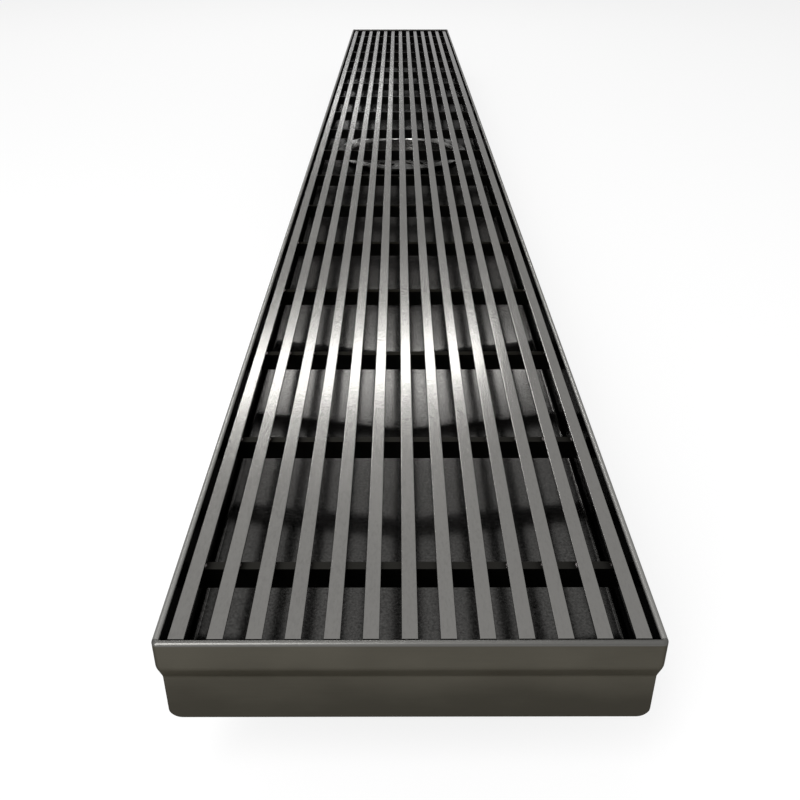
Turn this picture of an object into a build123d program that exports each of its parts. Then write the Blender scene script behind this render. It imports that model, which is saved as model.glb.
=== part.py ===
"""Linear shower drain: folded steel channel, welded end caps, outlet spigot, strainer and wire grate.

Millimetres. The origin is the centre of the spigot's lower rim, +Y runs along the channel and +Z is up.
The grate and the strainer only rest in place and lift out by hand.
"""
import os
from math import atan, atan2, cos, degrees, radians, sin, sqrt, tan

from build123d import *

# Channel, folded from one sheet
CHANNEL_LENGTH = 900.0
CHANNEL_WIDTH = 110.0
CHANNEL_DEPTH = 24.0    # rim to the lowest line of the floor's underside
SHEET = 1.5
RIM_ROUND = 0.7         # both edges of the rim, rounded and polished

# Step in the walls that carries the grate
STEP_DEPTH = 7.6        # rim to the start of the step, on the outside
STEP_FALL = 3.4
STEP_INSET = 1.1
STEP_BEND = 2.5         # inside radius of both bends
END_BEND = 2.0          # the same inside the end caps, which are pressed

# Floor
FLOOR_FALL = 3.2        # from the walls to the centre line
FLOOR_BEND = 1.5        # inside radius between wall and floor
CENTRE_BEND = 8.0       # inside radius of the fold on the centre line

# End caps
CAP_CORNER = 0.3        # upright corners under the step, ground after welding
CAP_FOOT = 3.0          # lower corners, seen from the end

# Outlet
SPIGOT_DIAMETER = 80.0
SPIGOT_WALL = 1.5
SPIGOT_LENGTH = 25.0    # from the lower rim to the floor's lowest line
SPIGOT_WELD = 2.5       # leg of the fillet weld round its root

# Strainer
STRAINER_DIAMETER = 88.6
STRAINER_SHEET = 1.2
STRAINER_DEPTH = 12.0
STRAINER_BEND = 1.0     # inside leg of its bevelled bends
STRAINER_CLEARANCE = 1.5
SLOT_WIDTH = 3.6
SLOT_LAND = 3.6         # metal left between two rings of slots
SLOT_BRIDGE = 5.0       # metal left between two slots of one ring
SLOT_COUNTS = (3, 5, 7)  # slots in each ring, from the middle outwards

# Grate
GRATE_DROP = 1.2        # rim to the top of the wires
GRATE_SIDE_GAP = 1.25
GRATE_END_GAP = 1.0
WIRE_COUNT = 13
WIRE_WIDTH = 3.8
WIRE_FOOT = 2.4         # width at the bottom of the tapered wire
WIRE_HEIGHT = 2.8
WIRE_ROUND = 0.3
BAR_COUNT = 17
BAR_INSET = 27.6        # from the channel's end to the middle of the first bar
BAR_THICKNESS = 2.5
BAR_END_GAP = 0.3
BAR_SEAT = 2.6          # from the top of the step down to the bars' lower edge

# Worked out from the sizes above
RIM_Z = CHANNEL_DEPTH + SPIGOT_LENGTH
INSIDE_HALF = CHANNEL_WIDTH / 2 - SHEET
STEP_SLOPE = atan2(STEP_INSET, STEP_FALL)
FLOOR_SLOPE = atan(FLOOR_FALL / (INSIDE_HALF - STEP_INSET))
WIRE_TOP_Z = RIM_Z - GRATE_DROP
BAR_TOP_Z = WIRE_TOP_Z - WIRE_HEIGHT
LEDGE_Z = RIM_Z - STEP_DEPTH + SHEET * tan(STEP_SLOPE / 2)
SPIGOT_BORE = SPIGOT_DIAMETER / 2 - SPIGOT_WALL
RIM_EDGE = min(RIM_ROUND, 0.48 * SHEET)


def step_points(half, inward):
    """Wall corners from the rim down past the step, on the outer face or one that lies inward of it.

    A face that lies inward bounds a cutter, so it stands as far above the rim as it lies inward.
    """
    shift = inward * tan(STEP_SLOPE / 2)
    return [
        (half - inward, RIM_Z + inward),
        (half - inward, RIM_Z - STEP_DEPTH + shift),
        (half - inward - STEP_INSET, RIM_Z - STEP_DEPTH - STEP_FALL + shift),
    ]


def step_radii(inward, rim, bend):
    """Radii at the points that step_points gives."""
    return [rim, bend + SHEET - inward, bend + inward]


def floor_z(x, inward):
    """Height of the sloping floor at x, on the underside or on a face that lies inward of it."""
    return RIM_Z - CHANNEL_DEPTH + inward / cos(FLOOR_SLOPE) + abs(x) * tan(FLOOR_SLOPE)


def rounded_corner(before, corner, after, radius):
    """Start, middle and end of the arc that rounds a corner."""
    back, ahead = (Vector(before) - corner).normalized(), (Vector(after) - corner).normalized()
    half_angle = radians(back.get_angle(ahead)) / 2
    reach = radius / tan(half_angle)
    sagitta = radius / sin(half_angle) - radius
    return corner + back * reach, corner + (back + ahead).normalized() * sagitta, corner + ahead * reach


def rounded_face(points, radii):
    """Face inside a closed outline with each corner rounded to its own radius."""
    corners = [Vector(point) for point in points]
    around = list(zip(corners[-1:] + corners[:-1], corners, corners[1:] + corners[:1], radii))
    arcs = [rounded_corner(*place) for place in around]
    edges = [Line(last[2], arc[0]) for last, arc in zip(arcs[-1:] + arcs[:-1], arcs)]
    edges += [ThreePointArc(*arc) for arc, radius in zip(arcs, radii) if radius]
    return make_face(edges)


def mirrored(points, radii, middle, middle_radius):
    """Face from the points of its right half and those on its centre line."""
    left = [(-x, z) for x, z in reversed(points)]
    return rounded_face(points + middle + left, radii + middle_radius + radii[::-1])


def fold_outline(inward):
    """Cross-section of the folded channel, filled: its outer face, or a face inward of it."""
    foot = CHANNEL_WIDTH / 2 - STEP_INSET - inward
    points = step_points(CHANNEL_WIDTH / 2, inward) + [(foot, floor_z(foot, inward))]
    radii = step_radii(inward, 0 if inward else RIM_EDGE, STEP_BEND)
    radii += [FLOOR_BEND + SHEET - inward]
    return mirrored(points, radii, [(0, floor_z(0, inward))], [CENTRE_BEND + SHEET - inward])


def flat_outline(half, inward, bend, foot_radius):
    """Stepped outline with a level bottom, as seen from the end or from the side."""
    foot = half - STEP_INSET - inward
    points = step_points(half, inward) + [(foot, RIM_Z - CHANNEL_DEPTH - inward)]
    return mirrored(points, step_radii(inward, 0, bend) + [foot_radius], [], [])


def along_channel(face, half_length=CHANNEL_LENGTH):
    """Prism of a cross-section, by default one that runs past both ends of the channel."""
    return extrude(Plane.XZ * face, half_length, both=True)


def across_channel(face, half_width=CHANNEL_WIDTH):
    """Prism of a side view, by default one that runs past both sides of the channel."""
    return extrude(Plane.YZ * face, half_width, both=True)


def corner_post(radius):
    """Quarter of a stepped post that fills an upright corner."""
    bottom = RIM_Z - CHANNEL_DEPTH
    points = step_points(radius, 0) + [(radius - STEP_INSET, bottom), (0, bottom), (0, RIM_Z)]
    face = rounded_face(points, step_radii(0, 0, STEP_BEND) + [0, 0, 0])
    return revolve(Plane.XZ * face, Axis.Z, 90)


def between_caps():
    """Everything between the inner faces of the two end caps."""
    return across_channel(flat_outline(CHANNEL_LENGTH / 2, SHEET, END_BEND, 0))


def flared_mouth(half):
    """Outline of the mouth where it opens over the rim's rounded inner edge."""
    right = [(half, RIM_Z - RIM_EDGE), (half + RIM_EDGE, RIM_Z), (half + RIM_EDGE, RIM_Z + SHEET)]
    left = [(-x, z) for x, z in reversed(right)]
    bow = (1 - sqrt(0.5)) * RIM_EDGE
    middle = (half + bow, RIM_Z - bow)
    edges = [
        ThreePointArc(right[0], middle, right[1]), Line(right[1], right[2]), Line(right[2], left[0]),
        Line(left[0], left[1]), ThreePointArc(left[1], (-middle[0], middle[1]), left[2]),
        Line(left[2], right[0]),
    ]
    return make_face(edges)


def rim_easing():
    """Cutter that rounds the inner edge of the rim, mitred in the corners."""
    return along_channel(flared_mouth(INSIDE_HALF)) & across_channel(
        flared_mouth(CHANNEL_LENGTH / 2 - SHEET)
    )


def channel_tray():
    """The folded sheet between the caps, with the outlet hole in its floor."""
    folded = along_channel(fold_outline(0)) - along_channel(fold_outline(SHEET))
    hole = Cylinder(SPIGOT_BORE, 2 * RIM_Z)
    return (folded & between_caps()) - rim_easing() - hole


def block():
    """The channel's outer form without its hollow: two crossed prisms with a post in each corner."""
    corner = CAP_CORNER + STEP_INSET
    half_x, half_y = CHANNEL_WIDTH / 2 - corner, CHANNEL_LENGTH / 2 - corner
    solid = along_channel(flat_outline(CHANNEL_WIDTH / 2, 0, STEP_BEND, 0), half_y)
    solid += across_channel(flat_outline(CHANNEL_LENGTH / 2, 0, STEP_BEND, 0), half_x)
    post = corner_post(corner)
    places = [(half_x, half_y), (-half_x, half_y), (-half_x, -half_y), (half_x, -half_y)]
    for quarter, place in enumerate(places):
        solid += Pos(*place) * Rot(0, 0, 90 * quarter) * post
    return solid


def end_caps():
    """Front cap and back cap, as they are after welding and grinding."""
    solid = block() & along_channel(flat_outline(CHANNEL_WIDTH / 2, 0, STEP_BEND, CAP_FOOT))
    solid = fillet(solid.faces().sort_by(Axis.Z)[-1].edges(), RIM_EDGE)
    back = (solid - between_caps() - rim_easing()).solids().sort_by(Axis.Y)[-1]
    return mirror(back, about=Plane.XZ), back


def outlet_spigot():
    """Pipe welded on from below, its top and its fillet weld cut to the slope of the floor's underside."""
    top = floor_z(SPIGOT_DIAMETER / 2 + SPIGOT_WELD, SHEET)
    outside = SPIGOT_DIAMETER / 2
    section = Polyline(
        (SPIGOT_BORE, 0), (outside, 0), (outside, SPIGOT_LENGTH - SPIGOT_WELD),
        (outside + SPIGOT_WELD, SPIGOT_LENGTH), (outside + SPIGOT_WELD, top), (SPIGOT_BORE, top),
        close=True,
    )
    pipe = revolve(Plane.XZ * make_face(section), Axis.Z)
    return pipe - along_channel(fold_outline(0))


def strainer_basket():
    """Pressed cup with a flat rim that spans the floor's slope, and rings of curved slots in its base."""
    rim_radius = STRAINER_DIAMETER / 2
    cup = SPIGOT_BORE - STRAINER_CLEARANCE
    hollow = cup - STRAINER_SHEET
    under_rim = floor_z(rim_radius, SHEET)
    top = under_rim + STRAINER_SHEET
    base = top - STRAINER_DEPTH
    inner_bend = STRAINER_BEND
    outer_bend = STRAINER_BEND + STRAINER_SHEET * (2 - sqrt(2))
    section = Polyline(
        (0, base), (cup - outer_bend, base), (cup, base + outer_bend),
        (cup, under_rim - inner_bend), (cup + inner_bend, under_rim), (rim_radius, under_rim),
        (rim_radius, top), (hollow + outer_bend, top), (hollow, top - outer_bend),
        (hollow, base + STRAINER_SHEET + inner_bend), (hollow - inner_bend, base + STRAINER_SHEET),
        (0, base + STRAINER_SHEET),
        close=True,
    )
    basket = revolve(Plane.XZ * make_face(section), Axis.Z)
    cutter = extrude(Plane.XY.offset(base - STRAINER_SHEET) * slot_rings(), 3 * STRAINER_SHEET)
    return basket - cutter


def slot_rings():
    """Curved slots in rings about the middle of the strainer's base."""
    slots = Sketch()
    for ring, count in enumerate(SLOT_COUNTS):
        radius = (ring + 1) * (SLOT_WIDTH + SLOT_LAND)
        gap = degrees((SLOT_BRIDGE + SLOT_WIDTH) / radius)
        turn = 360 / count
        for index in range(count):
            line = CenterArc((0, 0), radius, index * turn + gap / 2, turn - gap)
            slots += SlotArc(line, SLOT_WIDTH)
    return slots


def wire(x):
    """One tapered wire of the grate, with its flat side up."""
    half_top, half_foot = WIRE_WIDTH / 2, WIRE_FOOT / 2
    section = mirrored([(half_top, WIRE_TOP_Z), (half_foot, BAR_TOP_Z)], [WIRE_ROUND, 0], [], [])
    length = CHANNEL_LENGTH - 2 * SHEET - 2 * GRATE_END_GAP
    return extrude(Plane.XZ * Pos(x, 0) * section, length / 2, both=True)


def wire_places():
    """X of each wire, evenly spaced between the side gaps."""
    first = INSIDE_HALF - GRATE_SIDE_GAP - WIRE_WIDTH / 2
    return [first * (2 * index / (WIRE_COUNT - 1) - 1) for index in range(WIRE_COUNT)]


def cross_bar(y):
    """Flat bar under the wires, whose chamfered ends rest on the channel's step."""
    end = INSIDE_HALF - BAR_END_GAP
    meet_z = LEDGE_Z - BAR_END_GAP / tan(STEP_SLOPE)
    bottom_z = LEDGE_Z - BAR_SEAT
    seat = INSIDE_HALF - BAR_SEAT * tan(STEP_SLOPE)
    right = [(seat, bottom_z), (end, meet_z), (end, BAR_TOP_Z)]
    left = [(-x, z) for x, z in reversed(right)]
    outline = make_face(Polyline(*right, *left, close=True))
    return Pos(0, y, 0) * extrude(Plane.XZ * outline, BAR_THICKNESS / 2, both=True)


def bar_places():
    """Y of each cross bar, evenly spaced from the first to the last."""
    first = CHANNEL_LENGTH / 2 - BAR_INSET
    return [first * (2 * index / (BAR_COUNT - 1) - 1) for index in range(BAR_COUNT)]


def build():
    """Every piece by name."""
    front, back = end_caps()
    pieces = {
        "channel_tray": channel_tray(),
        "end_cap_front": front,
        "end_cap_back": back,
        "outlet_spigot": outlet_spigot(),
        "strainer_basket": strainer_basket(),
    }
    for number, x in enumerate(wire_places(), start=1):
        pieces[f"grate_wire_{number:02d}"] = wire(x)
    for number, y in enumerate(bar_places(), start=1):
        pieces[f"cross_bar_{number:02d}"] = cross_bar(y)
    return pieces


os.makedirs("parts", exist_ok=True)
for name, piece in build().items():
    export_step(piece, f"parts/{name}.step")
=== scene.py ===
"""Steel finishes, weld beads and a plain studio for a linear shower drain."""

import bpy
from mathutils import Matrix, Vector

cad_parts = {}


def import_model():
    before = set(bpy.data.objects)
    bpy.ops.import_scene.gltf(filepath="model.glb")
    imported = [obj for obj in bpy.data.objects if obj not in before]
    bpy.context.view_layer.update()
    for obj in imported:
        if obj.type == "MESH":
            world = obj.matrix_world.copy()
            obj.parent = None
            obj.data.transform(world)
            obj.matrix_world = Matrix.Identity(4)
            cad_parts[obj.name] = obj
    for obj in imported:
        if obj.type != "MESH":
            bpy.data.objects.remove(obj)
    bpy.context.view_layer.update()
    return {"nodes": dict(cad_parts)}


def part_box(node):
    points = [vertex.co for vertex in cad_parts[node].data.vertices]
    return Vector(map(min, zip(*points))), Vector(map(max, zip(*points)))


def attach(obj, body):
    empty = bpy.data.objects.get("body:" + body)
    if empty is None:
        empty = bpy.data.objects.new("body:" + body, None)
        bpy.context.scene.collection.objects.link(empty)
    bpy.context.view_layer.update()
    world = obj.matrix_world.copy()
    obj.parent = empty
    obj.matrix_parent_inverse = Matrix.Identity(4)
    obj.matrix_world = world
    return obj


bl_info = {
    "name": "Linear shower drain",
    "version": (1, 0, 0),
    "blender": (4, 5, 0),
    "location": "View3D > Sidebar > Drain",
    "description": "Steel finishes, weld beads and a studio for a drop-in grate shower drain",
    "category": "Object",
}

import math

import bpy
from mathutils import Vector

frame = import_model()
MM = 0.001

WIRES = sorted(name for name in frame["nodes"] if name.startswith("grate_wire"))
BARS = sorted(name for name in frame["nodes"] if name.startswith("cross_bar"))
TRAY_LOW, TRAY_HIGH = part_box("channel_tray")
RIM_Z = TRAY_HIGH.z
HALF_LENGTH = -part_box("end_cap_front")[0].y
HALF_WIDTH = TRAY_HIGH.x
SHEET = 1.5 * MM
STEP_INSET = 1.1 * MM               # how far the walls stand in below the step
FLOOR_TILT = 0.061                  # slope of the channel's floor towards its centre line
EDGE_TINT = 0.58                    # keeps grazing steel from going white
DARK_EDGE_TINT = 0.4                # the same for the dull sheet and bars

# Roughness of each finish
WIRE_ROUGHNESS = 0.17
BAR_ROUGHNESS = 0.4
SPIGOT_ROUGHNESS = 0.32
STRAINER_ROUGHNESS = 0.2
OUTSIDE_ROUGHNESS = 0.36
INSIDE_ROUGHNESS = 0.17
RIM_ROUGHNESS = 0.35
WELD_ROUGHNESS = 0.3

# Noise, in cells to the metre along each axis
STEEL_CLOUD = (26.0, 26.0, 26.0)
SHEET_CLOUD = (42.0, 42.0, 70.0)
INSIDE_SPECK = (1500.0, 1500.0, 1500.0)
WELD_HEAT = (400.0, 400.0, 400.0)
BROAD_LINES = 0.12                  # cells of the broad brush lines for each fine one

# Where the channel sheet's finishes, painted highlight and painted shade meet
SKIN = 0.87 * SHEET                 # how deep the outside finish goes
SKIN_BLEND = 0.1 * MM
FLOOR_BLEND = 0.3 * MM
# Band round the rim: polished roughness, and a lighter colour as painted highlight
POLISH_AND_HIGHLIGHT_START = 0.95 * MM            # below the top of the rim
POLISH_AND_HIGHLIGHT_FULL = 0.55 * MM
FOOT_SHADE_TOP = 5 * MM                   # below the top of the rim, where the painted shade at the foot has faded out
FOOT_SHADE_DEPTH = 0.8                    # how much darker the sheet is painted at its foot, as painted shade

# Weld beads
WELD_BROWN = (0.16, 0.13, 0.10)
WELD_BLUE = (0.26, 0.25, 0.27)
SPOT_REACH = 1.15                   # length of a spot weld for each thickness of a bar
SPOT_UNEVEN = ((0.86, 0.86, 0.8), (1.1, 1.12, 1.1))
SPOT_SEED = 7
SEAM_UNEVEN = ((0.9, 0.9, 1.7), (1.1, 1.1, 2.1))
SEAM_SEED = 3
FLOOR_BEND = 1.5 * MM               # inside radius between the floor and the walls
CAP_SEAM_TOP = 13 * MM              # below the rim
CAP_SEAM_MIDDLE = 4 * MM            # half of the level run over the centre line
CAP_SEAM_SUNK = 0.35 * MM           # how deep the bead's middle lies in the sheet
BEND_RUNS = 4
ROOT_INSET = 1.55 * MM              # from the weld's outer edge to the middle of the bead
ROOT_BELOW = 0.95 * MM              # from the floor's lowest line to the same
ROOT_RUNS = 96

# Studio
SENSOR_WIDTH = 36.0                 # millimetres
NEAR_CLIP = 0.01
FLOOR_REACH = 6.0
FLOOR_WHITE = 0.78                  # share of plain white in the floor that the camera sees
WORLD_LIGHT = 0.4                   # strength of the world as light
WORLD_WHITE = 1.0                   # its strength to the eye and in the steel

# Name, place, target, width and height, watts
LAMPS = (
    ("streak_lamp", (-0.21, 0.95, 0.793), (-0.01, -HALF_LENGTH + 0.12, RIM_Z), (0.8, 0.06), 3.0),
    ("spark_lamp", (-0.38, 1.55, 0.394), (-0.03, 0.08, RIM_Z), (0.75, 0.03), 0.72),
    ("side_lamp", (-0.42, -1.07, 0.71), (-0.04, -HALF_LENGTH, RIM_Z), (0.32, 1.2), 15.0),
    ("glint_lamp", (-0.06, -0.17, 0.85), (0.0, 0.04, TRAY_LOW.z), (0.35, 0.12), 1.2),
)


class Signal:
    """A shader socket that takes part in Python arithmetic."""

    def __init__(self, graph, socket):
        self.graph = graph
        self.socket = socket

    def _math(self, operation, *values):
        return self.graph.add("ShaderNodeMath", {"operation": operation}, *values)

    def __add__(self, other):
        return self._math("ADD", self, other)

    def __radd__(self, other):
        return self._math("ADD", other, self)

    def __sub__(self, other):
        return self._math("SUBTRACT", self, other)

    def __rsub__(self, other):
        return self._math("SUBTRACT", other, self)

    def __mul__(self, other):
        return self._math("MULTIPLY", self, other)

    def __rmul__(self, other):
        return self._math("MULTIPLY", other, self)

    def __abs__(self):
        return self._math("ABSOLUTE", self)

    def ramp(self, low, high, out_low=0.0, out_high=1.0):
        """Smooth step of this value from one level to another."""
        settings = {"interpolation_type": "SMOOTHSTEP"}
        return self.graph.add("ShaderNodeMapRange", settings, self, low, high, out_low, out_high)


class Graph:
    """The node tree of one new material, with its output in place."""

    def __init__(self, name):
        self.material = bpy.data.materials.new(name)
        self.material.use_nodes = True
        self.tree = self.material.node_tree
        self.tree.nodes.clear()
        self.output = self.tree.nodes.new("ShaderNodeOutputMaterial")
        self.place = self.add("ShaderNodeTexCoord", {}, out="Object")

    def add(self, kind, settings=None, *values, out=0, **named):
        """Adds a node, its settings first, then its inputs by order or name. Returns an output."""
        node = self.tree.nodes.new(kind)
        for key, value in (settings or {}).items():
            setattr(node, key, value)
        for index, value in enumerate(values):
            self.put(node.inputs[index], value)
        for key, value in named.items():
            self.put(node.inputs[key.replace("_", " ")], value)
        return Signal(self, node.outputs[out])

    def put(self, socket, value):
        """Links a signal to an input, or sets its value."""
        if isinstance(value, Signal):
            self.tree.links.new(value.socket, socket)
        elif value is not None:
            socket.default_value = value

    def axis(self, name):
        """X, Y or Z of the object's own coordinates, in metres."""
        return self.add("ShaderNodeSeparateXYZ", {}, self.place, out=name)

    def scaled(self, x, y, z):
        """Object coordinates stretched along each axis."""
        return self.add("ShaderNodeVectorMath", {"operation": "MULTIPLY"}, self.place, (x, y, z))

    def noise(self, stretch, detail=2.0, roughness=0.5):
        """Noise with so many cells to the metre along each axis."""
        return self.add("ShaderNodeTexNoise", {}, Vector=self.scaled(*stretch),
                        Scale=1.0, Detail=detail, Roughness=roughness)

    def mix(self, factor, first, second):
        """Mixes two colours."""
        node = self.tree.nodes.new("ShaderNodeMix")
        node.data_type = "RGBA"
        self.put(node.inputs["Factor"], factor)
        self.put(node.inputs[6], first)
        self.put(node.inputs[7], second)
        return Signal(self, node.outputs[2])

    def finish(self, shader):
        """Joins a shader to the output and returns the material."""
        self.tree.links.new(shader.socket, self.output.inputs["Surface"])
        return self.material


def colour(values):
    """Four numbers from a property's three."""
    return (*values, 1.0)


class DrainFinish(bpy.types.PropertyGroup):
    """Colours and surface of the steel."""

    tray: bpy.props.FloatVectorProperty(
        name="Channel", description="Colour of the channel sheet", subtype="COLOR",
        size=3, default=(0.0745, 0.0692, 0.0558))
    # Both rim colours are lighter than the sheet as painted highlight along the rims
    rail: bpy.props.FloatVectorProperty(
        name="Rails", description="Colour of the rim along the sides", subtype="COLOR",
        size=3, default=(0.22, 0.217, 0.207))
    end_rim: bpy.props.FloatVectorProperty(
        name="End rims", description="Colour of the rim across the ends", subtype="COLOR",
        size=3, default=(0.1, 0.0983, 0.0933))
    # Darker than the channel's outside: painted shade under the grate
    inside: bpy.props.FloatVectorProperty(
        name="Inside", description="Colour of the channel's inside", subtype="COLOR",
        size=3, default=(0.058, 0.057, 0.055))
    wire: bpy.props.FloatVectorProperty(
        name="Wires", description="Colour of the grate's ground wires", subtype="COLOR",
        size=3, default=(0.185, 0.181, 0.173))
    # Far darker than the wires' steel: painted shade under the wires
    bar: bpy.props.FloatVectorProperty(
        name="Cross bars", description="Colour of the bars under the wires", subtype="COLOR",
        size=3, default=(0.016, 0.0155, 0.014))
    strainer: bpy.props.FloatVectorProperty(
        name="Strainer", description="Colour of the strainer", subtype="COLOR",
        size=3, default=(0.30, 0.297, 0.288))
    spigot: bpy.props.FloatVectorProperty(
        name="Spigot", description="Colour of the outlet spigot", subtype="COLOR",
        size=3, default=(0.17, 0.168, 0.16))
    grain: bpy.props.FloatProperty(
        name="Grain", description="Width of one brush line", subtype="DISTANCE",
        unit="LENGTH", default=0.22 * MM, min=0.01 * MM)
    stroke: bpy.props.FloatProperty(
        name="Stroke", description="Length of one brush line", subtype="DISTANCE",
        unit="LENGTH", default=9.0 * MM, min=0.1 * MM)
    wire_grain: bpy.props.FloatProperty(
        name="Wire grain", description="Width of one grinding mark on a wire", subtype="DISTANCE",
        unit="LENGTH", default=0.5 * MM, min=0.01 * MM)
    wire_stroke: bpy.props.FloatProperty(
        name="Wire stroke", description="Length of one grinding mark on a wire", subtype="DISTANCE",
        unit="LENGTH", default=1.5 * MM, min=0.1 * MM)


class DrainWelds(bpy.types.PropertyGroup):
    """Sizes of the weld beads."""

    spot_width: bpy.props.FloatProperty(
        name="Spot width", description="Spot weld across a wire", subtype="DISTANCE",
        unit="LENGTH", default=3.3 * MM)
    spot_height: bpy.props.FloatProperty(
        name="Spot height", description="Spot weld between wire and bar", subtype="DISTANCE",
        unit="LENGTH", default=1.0 * MM)
    root_bead: bpy.props.FloatProperty(
        name="Root bead", description="Width of the bead round the spigot", subtype="DISTANCE",
        unit="LENGTH", default=2.8 * MM)
    cap_bead: bpy.props.FloatProperty(
        name="Cap bead", description="Width of the bead inside each end cap", subtype="DISTANCE",
        unit="LENGTH", default=1.9 * MM)
    ripple: bpy.props.FloatProperty(
        name="Ripple", description="Spacing of the ripples in a bead", subtype="DISTANCE",
        unit="LENGTH", default=0.9 * MM)


class DrainStudio(bpy.types.PropertyGroup):
    """Camera and lights."""

    lens: bpy.props.FloatProperty(
        name="Lens", description="Focal length on a 36 mm sensor", subtype="DISTANCE_CAMERA",
        default=37.94)
    axis_drop: bpy.props.FloatProperty(
        name="Shift", description="Vertical shift of the picture, in picture widths", default=-0.1)
    pitch: bpy.props.FloatProperty(
        name="Pitch", description="How far the camera looks down", subtype="ANGLE",
        unit="ROTATION", default=math.radians(26.85))
    yaw: bpy.props.FloatProperty(
        name="Yaw", description="How far the camera looks to the left", subtype="ANGLE",
        unit="ROTATION", default=math.radians(-0.115))
    above: bpy.props.FloatProperty(
        name="Height", description="Camera above the rim", subtype="DISTANCE",
        unit="LENGTH", default=141.3 * MM)
    before: bpy.props.FloatProperty(
        name="Distance", description="Camera in front of the near end", subtype="DISTANCE",
        unit="LENGTH", default=127.8 * MM)
    aside: bpy.props.FloatProperty(
        name="Offset", description="Camera to the right of the centre line", subtype="DISTANCE",
        unit="LENGTH", default=-2.41 * MM)
    floor: bpy.props.FloatVectorProperty(
        name="Floor", description="Colour of the floor and backdrop", subtype="COLOR",
        size=3, default=(0.93, 0.93, 0.93))


def settings():
    """The three property groups of the scene."""
    scene = bpy.context.scene
    return scene.drain_finish, scene.drain_welds, scene.drain_studio


def brush_lines(graph, along, grain, stroke):
    """Fine and broad noise drawn out along one axis."""
    across, run = 1 / grain, 1 / stroke
    stretch = tuple(run if axis == along else across for axis in "XYZ")
    broad = tuple(BROAD_LINES * cells for cells in stretch)
    return graph.noise(stretch, 3.0, 0.6), graph.noise(broad, 2.0)


def metal(graph, surface, roughness, normal, tint):
    """Principled steel."""
    shader = graph.add("ShaderNodeBsdfPrincipled", {}, Base_Color=surface, Metallic=1.0,
                       Roughness=roughness, Normal=normal, Specular_Tint=colour((tint,) * 3))
    return graph.finish(shader)


def brushed(name, base, along, roughness, grain_depth, tint=EDGE_TINT, marks=None):
    """Brushed steel, with its lines along one axis and marks of a given width and length."""
    graph = Graph(name)
    finish = settings()[0]
    fine, broad = brush_lines(graph, along, *(marks or (finish.grain, finish.stroke)))
    cloud = graph.noise(STEEL_CLOUD, 2.0)
    tone = 0.28 + 1.3 * fine + 0.14 * broad
    dark = tuple(0.72 * c for c in base)
    surface = graph.mix(tone * (0.8 + 0.4 * cloud), colour(dark), colour(base))
    rough = roughness + 0.16 * (fine - 0.5) + 0.08 * (cloud - 0.5)
    bump = graph.add("ShaderNodeBump", {}, Strength=grain_depth, Distance=0.04 * MM,
                     Height=fine + 0.5 * broad)
    return metal(graph, surface, rough, bump, tint)


def channel_sheet(name, along, rim_highlight_colour):
    """Satin sheet: brushed outside and darker towards its foot as painted shade, smooth inside and
    darker there as painted shade, polished round the rim with a lighter colour as painted
    highlight.
    """
    finish = settings()[0]
    graph = Graph(name)
    fine, broad = brush_lines(graph, along, finish.grain, finish.stroke)
    cloud = graph.noise(SHEET_CLOUD, 3.0)
    speck = graph.noise(INSIDE_SPECK, 2.0)
    side, end, height = abs(graph.axis("X")), abs(graph.axis("Y")), graph.axis("Z")
    floor = TRAY_LOW.z + SHEET / 2
    inside = (side - HALF_WIDTH + SKIN).ramp(-SKIN_BLEND, SKIN_BLEND, 1.0, 0.0)
    inside = inside * (end - HALF_LENGTH + SKIN).ramp(-SKIN_BLEND, SKIN_BLEND, 1.0, 0.0)
    level = height - FLOOR_TILT * side
    inside = inside * level.ramp(floor - FLOOR_BLEND, floor + FLOOR_BLEND)
    rim = height.ramp(RIM_Z - POLISH_AND_HIGHLIGHT_START, RIM_Z - POLISH_AND_HIGHLIGHT_FULL)
    dark = tuple(0.55 * c for c in finish.tray)
    # Painted shade: the outside of the sheet darkens towards its foot
    foot_shade = height.ramp(TRAY_LOW.z, RIM_Z - FOOT_SHADE_TOP, FOOT_SHADE_DEPTH, 0.0)
    tone = 0.75 + 1.1 * (cloud - 0.5) + 0.3 * (fine - 0.5) - foot_shade
    outside = graph.mix(tone, colour(dark), colour(finish.tray))
    # Painted shade: the inside takes its darker colour, varied at random by the speck
    mottled = graph.mix(2.2 * speck - 0.6, colour((0.6 * c for c in finish.inside)),
                        colour((1.4 * c for c in finish.inside)))
    surface = graph.mix(inside, outside, mottled)
    # Painted highlight: the band round the rim takes the lighter rim colour
    surface = graph.mix(rim, surface, colour(rim_highlight_colour))
    plain = OUTSIDE_ROUGHNESS + 0.10 * (fine - 0.5) + 0.10 * (cloud - 0.5)
    bright = INSIDE_ROUGHNESS + 0.08 * (speck - 0.5)
    rough = plain + inside * (bright - plain)
    rough = rough + rim * (RIM_ROUGHNESS - rough)
    bump = graph.add("ShaderNodeBump", {}, Strength=0.3, Distance=0.02 * MM,
                     Height=(fine + 0.5 * broad) * (1.0 - inside) * 0.6 + speck * inside)
    return metal(graph, surface, rough, bump, DARK_EDGE_TINT)


def weld_metal(name):
    """Bright, slightly blued weld bead."""
    graph = Graph(name)
    heat = graph.noise(WELD_HEAT, 2.0)
    surface = graph.mix(heat, colour(WELD_BROWN), colour(WELD_BLUE))
    shader = graph.add("ShaderNodeBsdfPrincipled", {}, Base_Color=surface, Metallic=1.0,
                       Roughness=WELD_ROUGHNESS + 0.2 * heat)
    return graph.finish(shader)


def dress(names, material):
    """Gives CAD nodes one material."""
    for name in names:
        mesh = frame["nodes"][name].data
        mesh.materials.clear()
        mesh.materials.append(material)


def put_in_scene(obj):
    """Links a new object."""
    bpy.context.scene.collection.objects.link(obj)
    return obj


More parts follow.
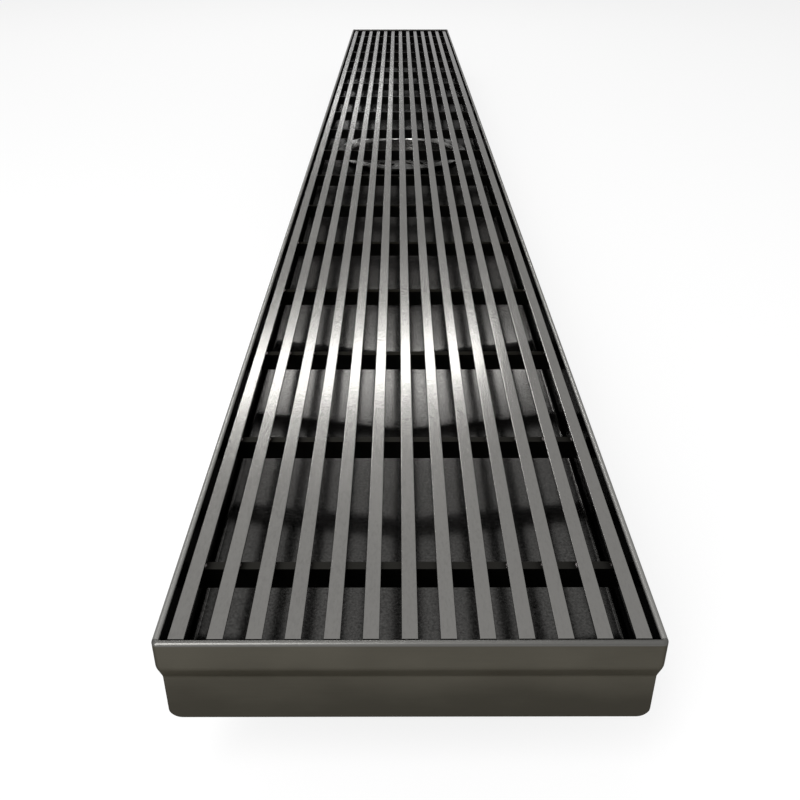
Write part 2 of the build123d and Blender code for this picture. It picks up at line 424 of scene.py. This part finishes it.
class Recipe:
    """A geometry node group with named inputs, built in code."""

    def __init__(self, name, inputs):
        self.tree = bpy.data.node_groups.new(name, "GeometryNodeTree")
        sockets = self.tree.interface
        sockets.new_socket("Geometry", in_out="INPUT", socket_type="NodeSocketGeometry")
        for label, kind in inputs.items():
            sockets.new_socket(label, in_out="INPUT", socket_type=kind)
        sockets.new_socket("Geometry", in_out="OUTPUT", socket_type="NodeSocketGeometry")
        self.source = self.tree.nodes.new("NodeGroupInput")
        self.sink = self.tree.nodes.new("NodeGroupOutput")

    def given(self, label):
        """Output of the group input with this name."""
        return self.source.outputs[label]

    def add(self, kind, settings=None, out=0, **inputs):
        """Adds a node and returns an output. An input is named, or given as _ and its number."""
        node = self.tree.nodes.new(kind)
        for key, value in (settings or {}).items():
            setattr(node, key, value)
        for key, value in inputs.items():
            place = int(key[1:]) if key[0] == "_" else key.replace("_", " ")
            socket = node.inputs[place]
            if isinstance(value, bpy.types.NodeSocket):
                self.tree.links.new(value, socket)
            else:
                socket.default_value = value
        return node.outputs[out]

    def close(self, geometry, material):
        """Realises the instances, sets the material and joins the output."""
        whole = self.add("GeometryNodeRealizeInstances", Geometry=geometry)
        done = self.add("GeometryNodeSetMaterial", Geometry=whole, Material=material)
        self.tree.links.new(done, self.sink.inputs["Geometry"])

    def make(self, name, host_mesh, **values):
        """Evaluates the group on a mesh and returns a plain mesh object."""
        host = put_in_scene(bpy.data.objects.new(name + "_host", host_mesh))
        modifier = host.modifiers.new(name, "NODES")
        modifier.node_group = self.tree
        for socket in self.tree.interface.items_tree:
            if socket.in_out == "INPUT" and socket.name in values:
                modifier[socket.identifier] = values[socket.name]
        bpy.context.view_layer.update()
        evaluated = host.evaluated_get(bpy.context.evaluated_depsgraph_get())
        mesh = bpy.data.meshes.new_from_object(evaluated)
        mesh.name = name
        host.modifiers.remove(modifier)
        bpy.data.objects.remove(host)
        piece = put_in_scene(bpy.data.objects.new(name, mesh))
        for polygon in mesh.polygons:
            polygon.use_smooth = True
        return piece


def spot_weld_recipe():
    """Squashed beads at every crossing of a wire and a bar, on points that the host mesh gives."""
    recipe = Recipe("spot_welds", {"Width": "NodeSocketFloat", "Length": "NodeSocketFloat",
                                   "Height": "NodeSocketFloat", "Material": "NodeSocketMaterial"})
    bead = recipe.add("GeometryNodeMeshUVSphere", Segments=10, Rings=6, Radius=0.5)
    size = recipe.add("ShaderNodeCombineXYZ", X=recipe.given("Width"), Y=recipe.given("Length"),
                      Z=recipe.given("Height"))
    uneven = recipe.add("FunctionNodeRandomValue", {"data_type": "FLOAT_VECTOR"},
                        _0=SPOT_UNEVEN[0], _1=SPOT_UNEVEN[1], Seed=SPOT_SEED)
    scale = recipe.add("ShaderNodeVectorMath", {"operation": "MULTIPLY"}, _0=size, _1=uneven)
    spots = recipe.add("GeometryNodeInstanceOnPoints", Points=recipe.given("Geometry"),
                       Instance=bead, Scale=scale)
    recipe.close(spots, recipe.given("Material"))
    return recipe


def seam_recipe():
    """A rippled weld bead along the edges of the host mesh."""
    recipe = Recipe("seam_bead", {"Width": "NodeSocketFloat", "Ripple": "NodeSocketFloat",
                                  "Material": "NodeSocketMaterial"})
    path = recipe.add("GeometryNodeMeshToCurve", Mesh=recipe.given("Geometry"))
    points = recipe.add("GeometryNodeCurveToPoints", {"mode": "LENGTH"}, Curve=path,
                        Length=recipe.given("Ripple"))
    turn = points.node.outputs["Rotation"]
    bead = recipe.add("GeometryNodeMeshUVSphere", Segments=8, Rings=5, Radius=0.5)
    size = recipe.add("ShaderNodeCombineXYZ", X=recipe.given("Width"), Y=recipe.given("Width"),
                      Z=recipe.given("Ripple"))
    uneven = recipe.add("FunctionNodeRandomValue", {"data_type": "FLOAT_VECTOR"},
                        _0=SEAM_UNEVEN[0], _1=SEAM_UNEVEN[1], Seed=SEAM_SEED)
    scale = recipe.add("ShaderNodeVectorMath", {"operation": "MULTIPLY"}, _0=size, _1=uneven)
    beads = recipe.add("GeometryNodeInstanceOnPoints", Points=points, Instance=bead, Rotation=turn,
                       Scale=scale)
    recipe.close(beads, recipe.given("Material"))
    return recipe


def point_mesh(name, places):
    """A mesh of loose points."""
    mesh = bpy.data.meshes.new(name)
    mesh.from_pydata([tuple(place) for place in places], [], [])
    return mesh


def path_mesh(name, runs):
    """A mesh of open or closed edge paths."""
    points, edges = [], []
    for run in runs:
        start = len(points)
        points += [tuple(place) for place in run]
        edges += [(start + index, start + index + 1) for index in range(len(run) - 1)]
    mesh = bpy.data.meshes.new(name)
    mesh.from_pydata(points, edges, [])
    return mesh


def cap_seams():
    """Paths in the inner corners between the floor and lower walls and each end cap."""
    wall, end = HALF_WIDTH - STEP_INSET - SHEET, HALF_LENGTH - STEP_INSET - SHEET
    floor, radius = TRAY_LOW.z + SHEET, FLOOR_BEND - CAP_SEAM_SUNK
    half = [(wall - CAP_SEAM_SUNK, RIM_Z - CAP_SEAM_TOP)]
    for step in range(BEND_RUNS + 1):
        turn = math.radians(90 / BEND_RUNS * step)
        x = wall - FLOOR_BEND + radius * math.cos(turn)
        z = floor + FLOOR_TILT * wall + FLOOR_BEND - radius * math.sin(turn)
        half.append((x, z))
    half.append((CAP_SEAM_MIDDLE, floor + FLOOR_TILT * CAP_SEAM_MIDDLE + CAP_SEAM_SUNK))
    section = half + [(-x, z) for x, z in reversed(half)]
    return [[(x, side * (end - CAP_SEAM_SUNK), z) for x, z in section] for side in (-1, 1)]


def root_seam():
    """Closed path on the fillet weld round the spigot."""
    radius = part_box("outlet_spigot")[1].x - ROOT_INSET
    height = TRAY_LOW.z - ROOT_BELOW
    turns = [2 * math.pi * step / ROOT_RUNS for step in range(ROOT_RUNS + 1)]
    return [[(radius * math.cos(turn), radius * math.sin(turn), height) for turn in turns]]


class DRAIN_OT_channel(bpy.types.Operator):
    """Finish the folded channel and its end caps"""

    bl_idname = "drain.channel"
    bl_label = "Channel and end caps"

    def execute(self, context):
        finish, welds, _ = settings()
        dress(["channel_tray"], channel_sheet("channel_sheet", "Y", finish.rail))
        caps = channel_sheet("end_cap_sheet", "X", finish.end_rim)
        dress(["end_cap_front", "end_cap_back"], caps)
        seams = seam_recipe().make(
            "end_cap_seams", path_mesh("cap_corners", cap_seams()), Width=welds.cap_bead,
            Ripple=welds.ripple, Material=weld_metal("cap_weld"))
        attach(seams, "root")
        return {"FINISHED"}


class DRAIN_OT_grate(bpy.types.Operator):
    """Finish the wires and bars of the grate and lay the spot welds between them"""

    bl_idname = "drain.grate"
    bl_label = "Grate"

    def execute(self, context):
        finish, welds, _ = settings()
        dress(WIRES, brushed("wire_steel", finish.wire, "Y", WIRE_ROUGHNESS, 0.5,
                             marks=(finish.wire_grain, finish.wire_stroke)))
        # The bars' dark colour is painted shade under the wires
        dress(BARS, brushed("bar_steel", finish.bar, "X", BAR_ROUGHNESS, 0.2, DARK_EDGE_TINT))
        low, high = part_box(BARS[0])
        columns = [sum(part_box(name)[end].x for end in (0, 1)) / 2 for name in WIRES]
        rows = [sum(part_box(name)[end].y for end in (0, 1)) / 2 for name in BARS]
        crossings = [(x, y, high.z) for x in columns for y in rows]
        spots = spot_weld_recipe().make(
            "grate_spot_welds", point_mesh("crossings", crossings), Width=welds.spot_width,
            Length=(high.y - low.y) * SPOT_REACH, Height=welds.spot_height,
            Material=weld_metal("spot_weld"))
        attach(spots, "root")
        return {"FINISHED"}


class DRAIN_OT_outlet(bpy.types.Operator):
    """Finish the spigot and strainer and lay the bead round the spigot's root"""

    bl_idname = "drain.outlet"
    bl_label = "Outlet"

    def execute(self, context):
        finish, welds, _ = settings()
        dress(["outlet_spigot"],
              brushed("spigot_steel", finish.spigot, "X", SPIGOT_ROUGHNESS, 0.15))
        dress(["strainer_basket"],
              brushed("strainer_steel", finish.strainer, "X", STRAINER_ROUGHNESS, 0.1))
        seam = seam_recipe().make(
            "spigot_seam", path_mesh("spigot_root", root_seam()), Width=welds.root_bead,
            Ripple=welds.ripple, Material=weld_metal("root_weld"))
        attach(seam, "root")
        return {"FINISHED"}


class DRAIN_OT_studio(bpy.types.Operator):
    """Floor, backdrop, lights, world and camera"""

    bl_idname = "drain.studio"
    bl_label = "Studio"

    def execute(self, context):
        studio = settings()[2]
        floor_and_backdrop(studio)
        lights()
        world()
        camera(studio)
        return {"FINISHED"}


def floor_and_backdrop(studio):
    """A pale floor that keeps the object's shadow."""
    graph = Graph("pale_floor")
    path = graph.add("ShaderNodeLightPath", {}, out="Is Camera Ray")
    plain = graph.add("ShaderNodeBsdfDiffuse", {}, Color=colour(studio.floor))
    white = graph.add("ShaderNodeEmission", {}, Color=(1.0, 1.0, 1.0, 1.0), Strength=1.0)
    shader = graph.add("ShaderNodeMixShader", {}, FLOOR_WHITE * path, plain, white)
    material = graph.finish(shader)
    around = ((-1, -1), (1, -1), (1, 1), (-1, 1))
    corners = [(x * FLOOR_REACH, y * FLOOR_REACH, 0) for x, y in around]
    mesh = bpy.data.meshes.new("floor")
    mesh.from_pydata(corners, [], [(0, 1, 2, 3)])
    mesh.materials.append(material)
    put_in_scene(bpy.data.objects.new("floor", mesh))


def area_light(name, place, target, size, power):
    """A soft rectangular lamp aimed at a point."""
    lamp = bpy.data.lights.new(name, "AREA")
    lamp.shape = "RECTANGLE"
    lamp.size, lamp.size_y = size
    lamp.energy = power
    holder = put_in_scene(bpy.data.objects.new(name, lamp))
    holder.location = place
    holder.rotation_euler = (Vector(target) - Vector(place)).to_track_quat("-Z", "Y").to_euler()


def lights():
    """Two lamps whose streaks cross the wires, one for the near end and one for the floor."""
    for lamp in LAMPS:
        area_light(*lamp)


def world():
    """White to the eye and in the steel, softer as light."""
    scene = bpy.context.scene
    scene.world = bpy.data.worlds.new("studio_world")
    scene.world.use_nodes = True
    tree = scene.world.node_tree
    back = tree.nodes["Background"]
    path = tree.nodes.new("ShaderNodeLightPath")
    total = tree.nodes.new("ShaderNodeMath")
    total.operation = "MAXIMUM"
    tree.links.new(path.outputs["Is Camera Ray"], total.inputs[0])
    tree.links.new(path.outputs["Is Glossy Ray"], total.inputs[1])
    more = tree.nodes.new("ShaderNodeMath")
    more.operation = "MAXIMUM"
    tree.links.new(total.outputs[0], more.inputs[0])
    tree.links.new(path.outputs["Is Transmission Ray"], more.inputs[1])
    strength = tree.nodes.new("ShaderNodeMapRange")
    tree.links.new(more.outputs[0], strength.inputs["Value"])
    strength.inputs["To Min"].default_value = WORLD_LIGHT
    strength.inputs["To Max"].default_value = WORLD_WHITE
    tree.links.new(strength.outputs[0], back.inputs["Strength"])
    back.inputs["Color"].default_value = (1.0, 1.0, 1.0, 1.0)


def camera(studio):
    """The photograph's view: close to the near end, low, with the frame slid down."""
    data = bpy.data.cameras.new("view")
    data.sensor_width = SENSOR_WIDTH
    data.lens = studio.lens
    data.shift_y = studio.axis_drop
    data.clip_start = NEAR_CLIP
    holder = put_in_scene(bpy.data.objects.new("view", data))
    holder.location = (studio.aside, -HALF_LENGTH - studio.before, RIM_Z + studio.above)
    holder.rotation_euler = (math.pi / 2 - studio.pitch, 0.0, studio.yaw)
    scene = bpy.context.scene
    scene.camera = holder
    scene.view_settings.view_transform = "Standard"


class DRAIN_PT_panel(bpy.types.Panel):
    """Lists the steps and the values that they read"""

    bl_idname = "DRAIN_PT_panel"
    bl_label = "Linear shower drain"
    bl_space_type = "VIEW_3D"
    bl_region_type = "UI"
    bl_category = "Drain"

    def draw(self, context):
        for step in STEPS:
            self.layout.operator(step.bl_idname)
        for group in settings():
            box = self.layout.box()
            for key in group.bl_rna.properties.keys():
                if key not in {"rna_type", "name"}:
                    box.prop(group, key)


GROUPS = {"drain_finish": DrainFinish, "drain_welds": DrainWelds, "drain_studio": DrainStudio}
STEPS = (DRAIN_OT_channel, DRAIN_OT_grate, DRAIN_OT_outlet, DRAIN_OT_studio)


def register():
    """Registers the property groups, the steps and the panel."""
    for key, group in GROUPS.items():
        bpy.utils.register_class(group)
        setattr(bpy.types.Scene, key, bpy.props.PointerProperty(type=group))
    for step in STEPS + (DRAIN_PT_panel,):
        bpy.utils.register_class(step)


def unregister():
    """Takes the classes away again."""
    for step in (DRAIN_PT_panel,) + STEPS[::-1]:
        bpy.utils.unregister_class(step)
    for key, group in GROUPS.items():
        delattr(bpy.types.Scene, key)
        bpy.utils.unregister_class(group)


def main():
    """Runs every step in order."""
    register()
    bpy.ops.drain.channel()
    bpy.ops.drain.grate()
    bpy.ops.drain.outlet()
    bpy.ops.drain.studio()


if __name__ == "__main__":
    main()
